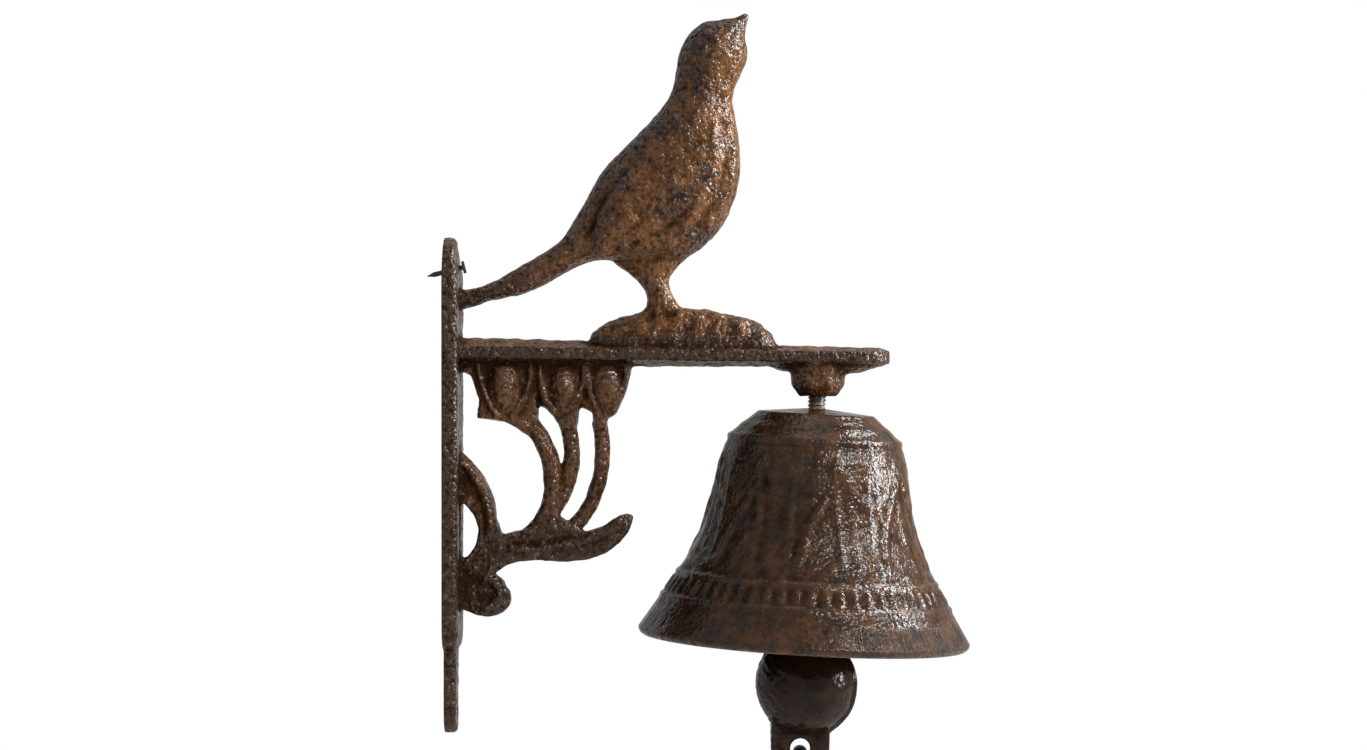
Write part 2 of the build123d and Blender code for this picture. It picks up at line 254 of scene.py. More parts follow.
paintedIron = {
    "rust": "#57371b",
    "brown": "#352111",
    "dark": "#25180e",  # where the rust wash wasn't rubbed on and no painted top light falls
    "shade": "#140d09",  # painted shade in the hollows and pits
    "patch": "#1a1719",
    # painted highlight: the pale colour of the glints painted on the grain tops
    "paintedGlint": "#b39c8a",
    "clouds": 8.0,  # mm, drifts from brown to rust
    "patches": 2.6,  # mm, blue-black spots where the rust wash has rubbed off again
    "grain": 1.5,  # mm; the sand grains of the mould are finer, and are drawn coarse enough to show
    "grainDepth": 0.8,  # mm
    "ripple": 5.0,  # mm, orange peel of the thick paint
    "rippleDepth": 0.6,  # mm
    "bareShift": 0.2,  # what a mark of bare adds to the pattern of patches
    "paintedGlints": 0.12,  # painted highlight: how strongly the tops of the grains are painted a pale grey-brown as glints
    "pits": 0.4,  # how much painted shade darkens the pits between the grains
    "hollows": 0.6,  # how much painted shade darkens the hollows of the relief
    # where in its pattern, or in the height of the relief, each of them starts and ends
    "cloudsRange": (0.36, 0.66),
    "patchesRange": (0.60, 0.74),
    "hollowsRange": (0.26, 0.50),
    "pitsRange": (0.34, 0.48),
    "paintedGlintsRange": (0.62, 0.76),
    # gloss, each as a range of what it follows and the values at its two ends
    "roughness": ((0.35, 0.65), (0.12, 0.24)),  # lacquer, rougher towards the patches
    "specular": ((0.0, 0.4), (0.16, 0.02)),  # on the open skin, and in the pits that see little of the room
    "crestGloss": ((0.52, 0.85), (1.0, 1.5)),  # crests that hands and cloths have polished
    "grazingGloss": ((0.3, 0.75), (1.0, 0.08)),  # a rough casting hides its own skin at grazing angles
    "rimScratches": False,
    "scratchesPerMm": 2.2,
    "scratchDepth": 0.6,  # mm
}


def makePaintedIron(name, changes=None):
    # brown lacquer over sand-cast iron: a grainy skin that glitters on its grains under the gloss, with painted
    # pale glints on their tops, rusty on the open faces, nearly black in groups of small spots, and darkened by
    # painted shade in the hollows and pits
    look = dict(paintedIron, **(changes or {}))
    material, tree = newMaterial(name)
    place = addNode(tree, "ShaderNodeTexCoord").outputs["Object"]
    noise = {}
    for pattern, detail, roughness in (
            ("clouds", 4, 0.62), ("patches", 3, 0.65), ("grain", 1, 0.6), ("ripple", 2, 0.5)):
        values = {"Scale": 1 / (look[pattern] * mm), "Detail": detail, "Roughness": roughness}
        noise[pattern] = addNode(tree, "ShaderNodeTexNoise", values, {"Vector": place}).outputs["Fac"]
    marks = {}
    for mark in ("raised", "washAndTopLight", "bare") + (("around", "brushed") if look["rimScratches"] else ()):
        marks[mark] = addNode(tree, "ShaderNodeAttribute", attribute_name=mark).outputs["Fac"]

    brown, rust = zip(look["cloudsRange"], (colour(look["brown"]), colour(look["rust"])))
    base = addNode(tree, "ShaderNodeValToRGB", links={"Fac": noise["clouds"]}, stops=(brown, rust)).outputs["Color"]
    # the rust wash and the painted top light lift the dark base towards the rust colours
    base = addNode(tree, "ShaderNodeMix", {mixFirst: colour(look["dark"])},
                   {mixFactor: marks["washAndTopLight"], mixSecond: base}, data_type="RGBA").outputs[mixed]
    worn = addNode(tree, "ShaderNodeMath", {1: look["bareShift"]}, {0: marks["bare"], 2: noise["patches"]},
                   operation="MULTIPLY_ADD").outputs[0]
    masks = {}
    # patches are real blue-black spots; the hollows and pits get painted shade, and the grain tops get painted pale
    # glints
    for name, source, shares, shade in (
            ("patches", worn, (black, white), "patch"),
            ("hollows", marks["raised"], (grey(look["hollows"]), black), "shade"),
            ("pits", noise["grain"], (grey(look["pits"]), black), "shade"),
            ("paintedGlints", noise["grain"], (black, grey(look["paintedGlints"])), "paintedGlint")):
        stops = tuple(zip(look[name + "Range"], shares))
        masks[name] = addNode(tree, "ShaderNodeValToRGB", links={"Fac": source}, stops=stops).outputs["Color"]
        base = addNode(tree, "ShaderNodeMix", {mixSecond: colour(look[shade])},
                       {mixFactor: masks[name], mixFirst: base}, data_type="RGBA").outputs[mixed]

    surface = addNode(tree, "ShaderNodeBump", {"Strength": 1.0, "Distance": look["rippleDepth"] * mm},
                      {"Height": noise["ripple"]}).outputs["Normal"]
    surface = addNode(tree, "ShaderNodeBump", {"Strength": 1.0, "Distance": look["grainDepth"] * mm},
                      {"Height": noise["grain"], "Normal": surface}).outputs["Normal"]
    if look["rimScratches"]:
        # fine upright scratches round a strip of the lip, where the casting was ground
        scratches = addNode(tree, "ShaderNodeTexNoise",
                            {"Scale": look["scratchesPerMm"], "Detail": 3, "Roughness": 0.7},
                            {"W": marks["around"]}, noise_dimensions="1D").outputs["Fac"]
        depth = addNode(tree, "ShaderNodeMath", {1: look["scratchDepth"] * mm}, {0: marks["brushed"]},
                        operation="MULTIPLY").outputs[0]
        surface = addNode(tree, "ShaderNodeBump", {"Strength": 1.0},
                          {"Height": scratches, "Distance": depth, "Normal": surface}).outputs["Normal"]

    dull = addNode(tree, "ShaderNodeMath", links={0: masks["hollows"], 1: masks["pits"]},
                   operation="MAXIMUM").outputs[0]
    grazing = addNode(tree, "ShaderNodeLayerWeight", {"Blend": 0.5}).outputs["Facing"]
    gloss = {}
    for name, source in (("roughness", noise["patches"]), ("specular", dull), ("crestGloss", marks["raised"]),
                         ("grazingGloss", grazing)):
        (start, end), (atStart, atEnd) = look[name]
        values = {"From Min": start, "From Max": end, "To Min": atStart, "To Max": atEnd}
        gloss[name] = addNode(tree, "ShaderNodeMapRange", values, {"Value": source}).outputs["Result"]
    shine = gloss["specular"]
    for share in ("crestGloss", "grazingGloss"):
        shine = addNode(tree, "ShaderNodeMath", links={0: shine, 1: gloss[share]}, operation="MULTIPLY").outputs[0]
    shader = addNode(tree, "ShaderNodeBsdfPrincipled", {"IOR": 1.5},
                     {"Base Color": base, "Roughness": gloss["roughness"], "Specular IOR Level": shine,
                      "Normal": surface})
    addNode(tree, "ShaderNodeOutputMaterial", links={"Surface": shader.outputs["BSDF"]})
    return material


stainedSteel = {
    "bright": "#8d8880",
    "stained": "#4a3f36",
    "blotches": 3.0,  # mm
    "blotchRange": (0.4, 0.62),
    "stainedMetal": 0.3,  # how metallic the stains still are
    "roughness": (0.25, 0.50),  # bright, stained
    "grain": 0.5,  # mm
    "grainDepth": 0.12,  # mm
}


def makeSteel(name, changes=None):
    # plain bright steel gone dull in use: grey metal with brown staining in blotches
    look = dict(stainedSteel, **(changes or {}))
    material, tree = newMaterial(name)
    place = addNode(tree, "ShaderNodeTexCoord").outputs["Object"]
    blotches = addNode(tree, "ShaderNodeTexNoise",
                       {"Scale": 1 / (look["blotches"] * mm), "Detail": 5, "Roughness": 0.65},
                       {"Vector": place}).outputs["Fac"]
    fine = addNode(tree, "ShaderNodeTexNoise", {"Scale": 1 / (look["grain"] * mm), "Detail": 2},
                   {"Vector": place}).outputs["Fac"]
    shares = {}
    for socket, shades in (("Base Color", (colour(look["bright"]), colour(look["stained"]))),
                           ("Metallic", (white, grey(look["stainedMetal"])))):
        stops = tuple(zip(look["blotchRange"], shades))
        shares[socket] = addNode(tree, "ShaderNodeValToRGB", links={"Fac": blotches}, stops=stops).outputs["Color"]
    smooth, rough = look["roughness"]
    gloss = addNode(tree, "ShaderNodeMapRange", {"To Min": smooth, "To Max": rough},
                    {"Value": blotches}).outputs["Result"]
    surface = addNode(tree, "ShaderNodeBump", {"Strength": 1.0, "Distance": look["grainDepth"] * mm},
                      {"Height": fine}).outputs["Normal"]
    shader = addNode(tree, "ShaderNodeBsdfPrincipled", links=dict(shares, Roughness=gloss, Normal=surface))
    addNode(tree, "ShaderNodeOutputMaterial", links={"Surface": shader.outputs["BSDF"]})
    return material


bracketPaint = makePaintedIron("brownLacquerOnSandCastBracket")
bellPaint = makePaintedIron("brownLacquerOnSandCastBell", {
    "rust": "#3a2412", "brown": "#1a110a", "clouds": 6.0, "patches": 5.0, "grain": 1.4, "grainDepth": 0.34,
    "ripple": 6.0, "rippleDepth": 0.4, "paintedGlints": 0.03, "pits": 0.2, "hollows": 0.5,
    "crestGloss": ((0.52, 0.85), (1.0, 1.2)), "rimScratches": True})
clapperPaint = makePaintedIron("brownLacquerOnSandCastClapper", {
    "rust": "#24150c", "brown": "#140c08", "grain": 1.8, "grainDepth": 0.12, "rippleDepth": 0.25,
    "paintedGlints": 0.0, "pits": 0.2, "specular": ((0.0, 0.4), (0.09, 0.02))})
boltSteel = makeSteel("stainedSteelBolt")
wireSteel = makeSteel("blackenedSteelWire", {
    "bright": "#3b3d42", "stained": "#1f1d1e", "blotches": 4.0, "roughness": (0.30, 0.55)})
print("materials made")


# Bracket: the casting with its bird, tulips and scroll

bracketCasting = {
    "skin": 0.62,  # mm, the mesh's grain
    "softness": 2,
    "trianglesKept": 190000,
    "hollowRounds": 30,
    "hollowReach": 0.6,  # mm
    # carvings on both sides, as height (below 0 is cut in), width and lines. A line is its start,
    # leaning point and end in (x, z).
    "feathers": (-0.36, 1.1, [
        ((73, 60), (60, 52), (47, 36)),
        ((78, 57), (64, 47), (50, 35)),
        ((81, 52), (70, 42), (53, 33)),
        ((83, 46), (76, 37), (58, 31)),
    ]),
    "scallops": (-0.216, 1.1, [
        ((67, 70), (70, 63), (77, 65)),
        ((75, 72), (79, 65), (85, 67)),
        ((66, 61), (71, 55), (77, 58)),
        ((78, 60), (82, 53), (87, 57)),
    ]),
    "tailLines": (-0.36, 0.7, [((42, 33.5), (30, 27), (10, 17.2)), ((42, 31), (30, 25), (12, 15.6))]),
    "breastRidges": (0.85, 1.5, [((89.5, 71), (93.5, 58), (80.5, 40)), ((95.6, 76), (101.5, 58), (88, 39))]),
    "breastGroove": (-0.68, 1.2, [((93, 74), (98.6, 58), (84, 38))]),
    "beakLine": (-0.425, 0.5, [((101, 109.6), (98.4, 107), (96.6, 103.6))]),
    "leafVein": (-0.35, 1.2, [((24, -66.5), (46, -69.5), (61, -58))]),
    "eye": (93.6, 102.4),
    "eyeball": (0.5, 0.98),  # height, width
    "eyelid": (-0.3, 0.55, 2.1),  # height, width, radius
    "cups": [(20.2, -14.9, 6.9, 9.6), (38.4, -14.3, 7.4, 9.6), (53.5, -13.6, 5.8, 8.8)],  # x, z, half sizes
    "cupHeight": 1.6,
    "cupFullness": 0.7,  # 0.5 is half an egg, 1 a flatter dome
    "uneven": (0.7, 0.5, 9.0, 3),  # middle and swing of the carvings' height, size and seed
    # the skin's swell, as height, size and seed
    "swells": [(0.16, 5.0, 4), (0.08, 2.0, 5)],
    "moundSwell": 1.2,  # how much more the bird's rock swells
    # where the carvings lie: facing to the side, above or below the arm, and clear of the wall
    "sideways": (0.25, 0.35),
    "birdAbove": (13.5, 16.0),
    "braceBelow": (12.0, 16.0),
    "cupsBelow": (4.5, 6.5),
    "moundHeights": ((0.0, 3.0), (14.0, 17.0)),
    "moundFrom": (44.0, 50.0),
    "clearOfWall": (0.0, 1.5),
    # x, z and size of the places where the rust wash is worn through in spots
    "bareSpots": [
        (91, 106, 7), (85, 100, 5), (99.5, 108.5, 3), (84.5, 88, 5), (72.7, 72.8, 5), (65.5, 66, 3),
        (59.3, 55.5, 5), (88.3, 57.7, 4), (80, 49.3, 4.5), (72, 45, 3), (84.5, 35.4, 5), (97, 7, 4),
        (105.7, 5.8, 4),
    ],
    # how much of the rust wash each part got, and where that part lies; upward-facing tops also get it as painted
    # light from above
    "wear": {
        "frame": 0.12,
        "bird": 0.88,
        "birdAbove": (1.0, 4.0),
        "birdFrom": (8.0, 40.0),
        "flowers": 0.6,
        "flowersBelow": ((5.5, 8.0), (50.0, 66.0)),
        "flowersFrom": (5.0, 9.0),
        # painted light from above: the upward-facing tops, from the arm's top upwards
        "armTopFacing": (0.7, 0.95),
        "armTopAbove": (-3.0, -1.0),
    },
    "plateTop": (24.0, 28.0),  # above here the plate's face is cast 1 mm thinner
    "plateFace": ((0.5, 5.0), (6.0, 9.0)),
    "armEnd": (144.0, 149.0),
    "armEndRounding": 0.3,
    "armEndHeight": 6.0,  # mm, up and down from its middle
    "armMiddle": -4.6,  # mid height of the arm's end
}


def carveBracket(piece, look):
    points = pointsOf(piece)
    normals = normalsOf(piece)
    x, z = points[:, 0], points[:, 2]
    facing, over = look["sideways"]
    side = np.clip((np.abs(normals[:, 1]) - facing) / over, 0, 1)
    uneven = unevenness(points, look)

    bird = np.zeros(len(points))
    for carving in ("feathers", "scallops", "tailLines", "breastRidges", "breastGroove", "beakLine"):
        bird += relief(look[carving], x, z)
    bird *= uneven
    fromEye = np.hypot(x - look["eye"][0], z - look["eye"][1])
    height, width = look["eyeball"]
    bird += height * bump(fromEye, width)
    height, width, radius = look["eyelid"]
    bird += height * bump(fromEye - radius, width)
    bird *= side * fade(z, *look["birdAbove"])

    brace = side * fade(-z, *look["braceBelow"]) * relief(look["leafVein"], x, z)
    onCups = side * fade(-z, *look["cupsBelow"]) * uneven
    for middleX, middleZ, halfX, halfZ in look["cups"]:
        reach = ((x - middleX) / halfX) ** 2 + ((z - middleZ) / halfZ) ** 2
        brace += look["cupHeight"] * np.clip(1 - reach, 0, 1) ** look["cupFullness"] * onCups

    mound = between(z, *look["moundHeights"]) * fade(x, *look["moundFrom"])
    swell = sum(height * waves(points, size, seed) for height, size, seed in look["swells"])
    swell *= 1 + look["moundSwell"] * mound
    onWall = fade(x, *look["clearOfWall"])
    points += normals * ((bird + brace + swell) * onWall)[:, None]
    setPoints(piece, points)


def softenEnds(piece, look):
    # the plate's top is thinner than the rest, and the arm's end is rounded over
    points = pointsOf(piece)
    x, z = points[:, 0], points[:, 2]
    points[:, 0] -= fade(z, *look["plateTop"]) * between(x, *look["plateFace"])
    outer = fade(x, *look["armEnd"]) ** 2
    middle = look["armMiddle"]
    rounded = middle + (z - middle) * (1 - look["armEndRounding"] * outer)
    points[:, 2] = np.where(np.abs(z - middle) < look["armEndHeight"], rounded, z)
    setPoints(piece, points)


def markWear(piece, look):
    # the rust wash is rubbed on most on the bird and its rock, less on the flowers, and least on the frame;
    # upward-facing tops such as the arm's top are lightened with it too, as painted light from above
    wear = look["wear"]
    x, z = pointsOf(piece)[:, [0, 2]].T
    bird = fade(z, *wear["birdAbove"]) * fade(x, *wear["birdFrom"])
    flowers = between(-z, *wear["flowersBelow"]) * fade(x, *wear["flowersFrom"])
    # painted light: faces that look up are lightened as if lit from above
    paintedTopLight = fade(normalsOf(piece)[:, 2], *wear["armTopFacing"]) * fade(z, *wear["armTopAbove"])
    washAndTopLight = wear["frame"] + wear["bird"] * bird + wear["flowers"] * flowers + paintedTopLight
    store(piece, "washAndTopLight", np.clip(washAndTopLight, 0, 1))
    bare = sum(bump(np.hypot(x - spotX, z - spotZ), size) for spotX, spotZ, size in look["bareSpots"])
    store(piece, "bare", np.clip(bare, 0, 1))


bracket = copyOfNode("bracket", "bracketCasting")
castSkin(bracket, bracketCasting)
carveBracket(bracket, bracketCasting)
softenEnds(bracket, bracketCasting)
allTriangles = 2 * len(bracket.data.polygons)
applyModifier(bracket, "DECIMATE", ratio=min(1, bracketCasting["trianglesKept"] / allTriangles))
keepInside(bracket, "bracket")
markHollows(bracket, bracketCasting)
markWear(bracket, bracketCasting)
shadeSmooth(bracket)
bracket.data.materials.append(bracketPaint)
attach(bracket, "bracket_group")
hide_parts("bracket")
print("bracket:", len(bracket.data.polygons), "faces")


# Rod frame: the tapped hole leans, and the bell hangs true to it

rodFoot = (124.8, 0, -17.5)  # mm, where the rod leaves the boss
rodLean = 3.2  # degrees
rodFrame = Matrix.Translation([value * mm for value in rodFoot]) @ Matrix.Rotation(math.radians(rodLean), 4, "Y")


def spin(name, profile, steps, closed):
    # a profile of (radius, height) in mm, spun about the rod
    corners = [(radius * mm, 0, height * mm) for radius, height in profile]
    edges = [(i, i + 1) for i in range(len(corners) - 1)]
    if closed:
        edges.append((len(corners) - 1, 0))
    mesh = bpy.data.meshes.new(name)
    mesh.from_pydata(corners, edges, [])
    piece = newPiece(name, mesh)
    editAll(piece)
    bpy.ops.mesh.spin(steps=steps, angle=2 * math.pi, center=(0, 0, 0), axis=(0, 0, 1))
    bpy.ops.mesh.select_all(action="SELECT")
    bpy.ops.mesh.remove_doubles(threshold=0.01 * mm)
    bpy.ops.mesh.normals_make_consistent(inside=False)
    bpy.ops.object.mode_set(mode="OBJECT")
    return piece


def evenly(points, spacing):
    # the same chain of points, resampled at an even spacing
    points = np.array(points, dtype=float)
    along = np.concatenate([[0], np.cumsum(np.hypot(*np.diff(points, axis=0).T))])
    count = max(2, int(round(along[-1] / spacing)) + 1)
    where = np.linspace(0, along[-1], count)
    return list(zip(np.interp(where, along, points[:, 0]), np.interp(where, along, points[:, 1])))


def smoothThrough(points, count=80):
    # a natural cubic spline through the points
    points = np.array(points, dtype=float)
    t = np.concatenate([[0], np.cumsum(np.hypot(*np.diff(points, axis=0).T))])
    gaps, size = np.diff(t), len(t)
    matrix, right = np.eye(size), np.zeros((size, 2))
    for i in range(1, size - 1):
        matrix[i, i - 1:i + 2] = gaps[i - 1], 2 * (gaps[i - 1] + gaps[i]), gaps[i]
        right[i] = 6 * ((points[i + 1] - points[i]) / gaps[i] - (points[i] - points[i - 1]) / gaps[i - 1])
    bend = np.linalg.solve(matrix, right)
    where = np.linspace(0, t[-1], count)
    i = np.clip(np.searchsorted(t, where) - 1, 0, size - 2)
    a, b, gap = (t[i + 1] - where)[:, None], (where - t[i])[:, None], gaps[i][:, None]
    curve = (bend[i] * a ** 3 + bend[i + 1] * b ** 3) / (6 * gap)
    curve += (points[i] / gap - bend[i] * gap / 6) * a + (points[i + 1] / gap - bend[i + 1] * gap / 6) * b
    return [tuple(point) for point in curve]


# Bell: heights are along the rod from the boss, and depths are below the crown, all in mm

bellCasting = {
    "crown": -4.2,
    "height": 78.4,
    "hole": 3.475,
    "crownRadius": 19.3,
    "crownFall": 1.6,
    "crownThick": 5.0,
    "side": [(28.9, 9.8), (30.7, 15.8), (32.9, 27.8), (36.9, 43.8), (45.5, 59.8)],  # radius, depth
    "mouthRadius": 55.6,
    "lip": 5.0,
    "lipPoints": 9,
    "wall": 4.6,
    "columns": 440,  # steps round the rod
    "spacing": 0.7,  # up the outside
    "innerSpacing": 2.5,
    "hollowRounds": 24,
    "hollowReach": 0.5,
    "outward": (0.02, 0.2),  # relief only where the surface turns away from the rod
    "rings": [(0.3, 10.2, 0.9), (-0.3, 12.0, 0.8), (0.25, 6.2, 0.9), (0.16, 17.0, 0.7)],  # height, depth, width
    "uneven": (0.75, 0.45, 14.0, 9),  # middle and swing of the carvings' height, size and seed
    "lines": (56.6, 64.4),
    "lineHeight": 0.6,
    "lineWidth": 0.8,
    # short upright ribs between the two raised lines
    "ribs": 60,
    "ribHeight": 0.45,
    "ribWave": (0.5, 0.6),  # middle and swing, cut off at 0 and 1
    "ribEnds": ((0.8, 2.2), (2.2, 0.9)),  # how far inside the upper and the lower line they fade
    # drapery tied at knots: two folds spread down from each knot, with swags between them
    "swags": 8,
    "knotAngle": 12.0,  # degrees to the right of the front
    "knot": (0.25, 18.5, 2.4),  # height, depth, width
    "drape": ((16.0, 24.0), (50.0, 54.0)),
    "foldHeight": 0.8,
    # depths, degrees from the knot at each of them, width and share of the height
    "folds": [
        ([16, 20, 31, 37, 46, 54], [0.5, 1.5, -7.5, -13.2, -17.6, -19.2], 1.5, 1.0),
        ([16, 20, 35, 52], [-1.0, -1.4, 1.0, 3.5], 1.4, 0.7),
        ([16, 40, 52], [-26, -25, -23.3], 1.3, 0.5),
        ([16, 30, 52], [-38, -36, -33], 1.3, 0.5),
    ],
    "swagTop": 17.0,
    "swagSlope": 0.8,  # makes up for the slope of a swag's sides, across which it is measured upright
    "swagLines": [(31.0, 1.8, 0.6), (25.4, 1.6, 0.3)],  # lowest depth, width, share of the height
    # the casting's lumpy skin, liveliest above the raised lines and calm on the lip
    "lumps": 0.1,
    "lumpWaves": [(1.0, 6.0, 11), (0.6, 3.0, 12)],  # share, size and seed
    "lively": ((28.0, 40.0), (54.0, 57.0)),
    "livelyShares": (0.5, 0.7),  # everywhere, and what the lively zone adds
    "calmLip": (66.0, 69.0),
    "calmShare": 0.75,
    "scratchedStrip": ((68.5, 70.5), (75.5, 77.5)),
    "scratchedTurn": ((6.0, 22.0), (76.0, 92.0)),  # degrees
}


def bellProfile(look):
    crown, mouth = look["crown"], look["crown"] - look["height"]
    lipHeight = mouth + look["lip"] / 2
    side = [(radius, crown - depth) for radius, depth in look["side"]]
    edge = (look["crownRadius"], crown - look["crownFall"])
    top = evenly([(look["hole"], crown), edge, side[0]], look["spacing"])
    outside = evenly(smoothThrough(side + [(look["mouthRadius"], lipHeight)]), look["spacing"])
    lip = [(look["mouthRadius"] - look["lip"] / 2 * (1 - math.cos(a)), lipHeight - look["lip"] / 2 * math.sin(a))
           for a in np.linspace(0, math.pi, look["lipPoints"])]
    inner = [(radius - look["wall"], height) for radius, height in side]
    inside = evenly(smoothThrough([lip[-1]] + inner[::-1]), look["innerSpacing"])
    ceiling = crown - look["crownThick"]
    corner = (look["crownRadius"] - look["wall"] / 2, ceiling)
    ceilingLine = evenly([inside[-1], corner, (look["hole"], ceiling)], look["innerSpacing"])
    return top + outside[1:] + lip[1:] + inside[1:] + ceilingLine[1:]


def dressBell(piece, look):
    points = pointsOf(piece)
    normals = normalsOf(piece)
    radius = np.hypot(points[:, 0], points[:, 1])
    depth = look["crown"] - points[:, 2]
    angle = np.degrees(np.arctan2(points[:, 0], -points[:, 1]))  # 0 faces the front, + to the right
    outward = (points[:, 0] * normals[:, 0] + points[:, 1] * normals[:, 1]) / np.maximum(radius, 0.1)
    outside = fade(outward, *look["outward"])
    uneven = unevenness(points, look)
    lift = np.zeros(len(points))
    for line in look["lines"]:
        lift += look["lineHeight"] * bump(depth - line, look["lineWidth"])
    for height, ring, width in look["rings"]:
        lift += height * bump(depth - ring, width)

    (ribTop, ribTopFull), (ribFootFull, ribFoot) = look["ribEnds"]
    upper, lower = look["lines"]
    ribbed = between(depth, (upper + ribTop, upper + ribTopFull), (lower - ribFootFull, lower - ribFoot))
    middle, swing = look["ribWave"]
    rib = np.clip(middle + swing * np.cos(np.radians(angle) * look["ribs"]), 0, 1) ** 2
    lift += look["ribHeight"] * ribbed * rib

    period = 360 / look["swags"]
    fromKnot = (angle - look["knotAngle"] + period) % period - period  # -period to 0
    degree = radius * math.pi / 180
    drape = between(depth, *look["drape"]) * uneven
    for depths, angles, width, share in look["folds"]:
        middle = np.interp(depth, depths, angles)
        for turn in (-period, 0, period):
            lift += look["foldHeight"] * share * drape * bump((fromKnot - middle - turn) * degree, width)
    across = (fromKnot + period / 2) / (period / 2)
    for bottom, width, share in look["swagLines"]:
        swag = bottom - (bottom - look["swagTop"]) * across ** 2
        lift += look["foldHeight"] * share * uneven * bump((depth - swag) * look["swagSlope"], width)
    height, knotDepth, width = look["knot"]
    sideways = ((fromKnot + period / 2) % period - period / 2) * degree
    lift += height * bump(np.hypot(sideways, depth - knotDepth), width)

    everywhere, lively = look["livelyShares"]
    lumpy = look["lumps"] * (everywhere + lively * between(depth, *look["lively"]))
    lumpy *= 1 - look["calmShare"] * fade(depth, *look["calmLip"])
    lift += lumpy * sum(share * waves(points, size, seed) for share, size, seed in look["lumpWaves"])
    points += normals * (lift * outside)[:, None]
    points[:, 2] = np.minimum(points[:, 2], look["crown"])
    setPoints(piece, points)

    strip = between(depth, *look["scratchedStrip"]) * between(angle, *look["scratchedTurn"])
    store(piece, "brushed", strip * outside)
    store(piece, "washAndTopLight", np.ones(len(points)))
    store(piece, "around", np.radians(angle) * look["mouthRadius"])


bell = spin("bellCasting", bellProfile(bellCasting), bellCasting["columns"], closed=True)
dressBell(bell, bellCasting)
markHollows(bell, bellCasting)
bell.data.transform(rodFrame)
keepInside(bell, "bell")
shadeSmooth(bell)
bell.data.materials.append(bellPaint)
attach(bell, "bell_body")
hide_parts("bell")
print("bell:", len(bell.data.polygons), "faces")


# Eye bolt: a cut thread on the shank, with the eye of the CAD node under it

eyeBolt = {
    "radius": 3.1,
    "root": 2.55,
    "pitch": 1.27,  # 20 threads to the inch
    "top": 11.0,
    "bottom": -22.0,
    "columns": 36,  # steps round the rod
    "pointsPerPitch": 8,
    "flank": 2.4,  # steepness; with the flat it leaves narrow flats at crest and root
    "flat": 0.1,
    "eyeOverlap": 0.6,  # mm of the eye's own shank inside the threaded one
    "sharpAngle": 40,  # degrees; steeper edges stay sharp
}


def threadedShank(name, look):
    side = [(look["radius"], look["bottom"]), (look["radius"], look["top"])]
    side = evenly(side, look["pitch"] / look["pointsPerPitch"])
    profile = [(0, look["bottom"])] + side + [(0, look["top"])]
    piece = spin(name, profile, look["columns"], closed=False)
    points = pointsOf(piece)
    radius = np.hypot(points[:, 0], points[:, 1])
    turn = np.arctan2(points[:, 1], points[:, 0]) / (2 * math.pi)
    phase = (points[:, 2] / look["pitch"] - turn) % 1
    height = np.clip(look["flank"] * np.abs(phase - 0.5) - look["flat"], 0, 1)
    wanted = look["root"] + (look["radius"] - look["root"]) * height
    onSide = radius > look["root"]
    factor = np.where(onSide, wanted / np.maximum(radius, 0.1), 1)
    points[:, 0] *= factor
    points[:, 1] *= factor
    setPoints(piece, points)
    piece.data.transform(rodFrame)
    return piece


shank = threadedShank("threadedShank", eyeBolt)
eye = copyOfNode("eye_bolt", "boltEye")
editAll(eye)
cut = rodFrame @ Vector((0, 0, (eyeBolt["bottom"] + eyeBolt["eyeOverlap"]) * mm))
bpy.ops.mesh.bisect(plane_co=cut, plane_no=rodFrame.to_3x3() @ Vector((0, 0, 1)), clear_outer=True, use_fill=True)
bpy.ops.object.mode_set(mode="OBJECT")
for piece in (shank, eye):
    makeActive(piece)
    bpy.ops.object.shade_smooth_by_angle(angle=math.radians(eyeBolt["sharpAngle"]))
    piece.data.materials.append(boltSteel)
    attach(piece, "bracket_group")
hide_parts("eye_bolt")
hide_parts("eye_bolt")
print("eye bolt: thread of", eyeBolt["pitch"], "mm pitch")


# Clapper: ball, neck, eye and lug in one casting

clapperCasting = {
    "skin": 0.5,  # mm, the mesh's grain
    "softness": 3,
    "hollowRounds": 20,
    "hollowReach": 0.3,  # mm
    "ball": (121.151, 0.0, -114.092),
    "ballEdge": (18.5, 17.2),  # mm from the ball's middle, where the seam fades out on the neck and lug
    "seamTurn": 18.0,  # the mould's parting line, in degrees from the wall plane
    "seamHeight": 0.9,
    "seamWidth": 0.8,
    "roughFrom": (-9.0, -5.0),  # mm left of the middle, where the paint has wrinkled
    "wrinkle": (0.14, 1.8, 21),  # height, size and seed
    "swell": (0.12, 5.0, 22),
}


def dressClapper(piece, look):
    points = pointsOf(piece)
    normals = normalsOf(piece)
    local = points - np.array(look["ball"])
    turn = math.radians(look["seamTurn"])
    acrossSeam = local[:, 1] * math.cos(turn) + local[:, 0] * math.sin(turn)
    onBall = fade(np.linalg.norm(local, axis=1), *look["ballEdge"])
    lift = look["seamHeight"] * bump(acrossSeam, look["seamWidth"]) * onBall
    rough = 1 - fade(local[:, 0], *look["roughFrom"])
    for share, (height, size, seed) in ((rough, look["wrinkle"]), (1, look["swell"])):
        lift += height * share * waves(points, size, seed)
    points += normals * lift[:, None]
    setPoints(piece, points)


clapper = copyOfNode("clapper", "clapperCasting")
castSkin(clapper, clapperCasting)
dressClapper(clapper, clapperCasting)
keepInside(clapper, "clapper")
markHollows(clapper, clapperCasting)
store(clapper, "washAndTopLight", np.ones(len(clapper.data.vertices)))
shadeSmooth(clapper)
clapper.data.materials.append(clapperPaint)
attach(clapper, "clapper_body")
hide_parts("clapper")
print("clapper:", len(clapper.data.polygons), "faces")


# Small CAD nodes that stay as they are, in their own metals

for nodeName, material in {
    "crown_washer": boltSteel,
    "crown_nut": boltSteel,
    "clapper_link": wireSteel,
    "pull_ring": wireSteel,
    "fixing_nail": wireSteel,
}.items():
    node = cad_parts[nodeName]
    node.data.materials.clear()
    node.data.materials.append(material)


# Floor, world, lamps and camera, in metres

